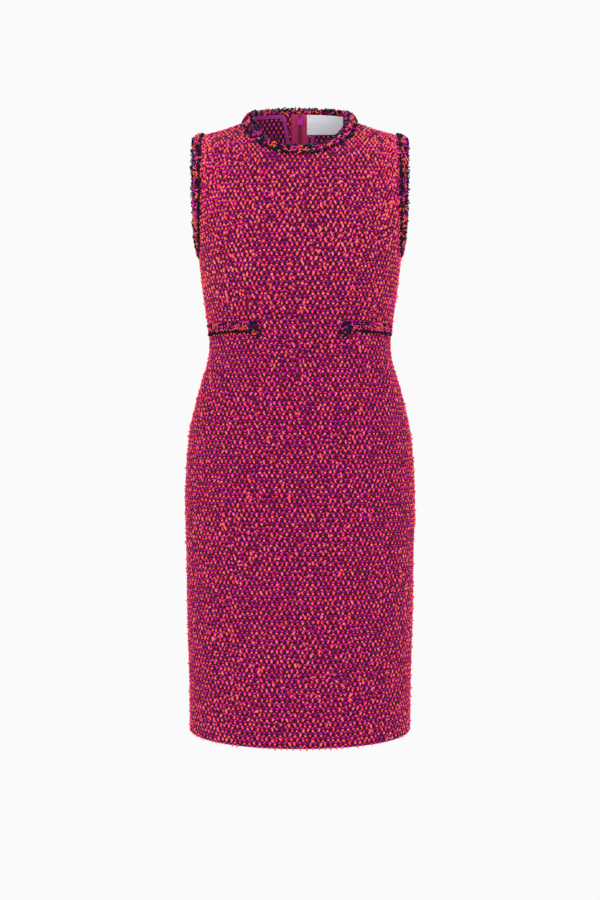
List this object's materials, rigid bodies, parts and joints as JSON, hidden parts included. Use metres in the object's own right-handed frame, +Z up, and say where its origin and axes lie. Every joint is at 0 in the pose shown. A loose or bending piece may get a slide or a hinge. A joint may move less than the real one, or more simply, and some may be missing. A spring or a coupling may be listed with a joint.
{
  "type": "sheath dress",
  "caption": "Sleeveless knee-length sheath dress in looped tweed, hollow and in its worn shape, with braid at neck, armholes and waist and a centre-back zip.",
  "frame": {"origin": "midway between the shoulders, at their height, where the wearer holds the dress up", "axes": "+Z up the wearer, the front faces -Y, +X to the right of a view of the front"},
  "size_m": [0.358, 0.2484, 0.9877],
  "materials": {
    "tweed": "matte looped tweed of coral, magenta and navy yarn",
    "braid": "matte looped yarn braid, mostly navy with magenta and coral",
    "binding": "smooth purple bias tape",
    "zip_tape": "fine raspberry woven tape",
    "zip_teeth": "dark raspberry coil",
    "zip_slider": "satin enamel",
    "label": "bare pale satin-woven label"
  },
  "bodies": {
    "dress": {"front_panel": "tweed", "back_panel_left": "tweed", "back_panel_right": "tweed", "neck_braid": "braid", "armhole_braid_left": "braid", "armhole_braid_right": "braid", "waist_braid_left": "braid", "waist_braid_right": "braid", "neck_binding": "binding", "seam_binding_left": "binding", "seam_binding_right": "binding", "zip_tape_left": "zip_tape", "zip_tape_right": "zip_tape", "zip_coil": "zip_teeth", "zip_slider": "zip_slider", "label": "label"},
    "zip_pull": {"zip_pull": "zip_slider"}
  },
  "joints": [
    {"name": "zip_pull_swing", "type": "hinge", "parent": "dress", "child": "zip_pull", "pos_m": [0, 0.07052, 0.02758], "axis": [1, 0, 0], "range_deg": [0, 110]}
  ]
}
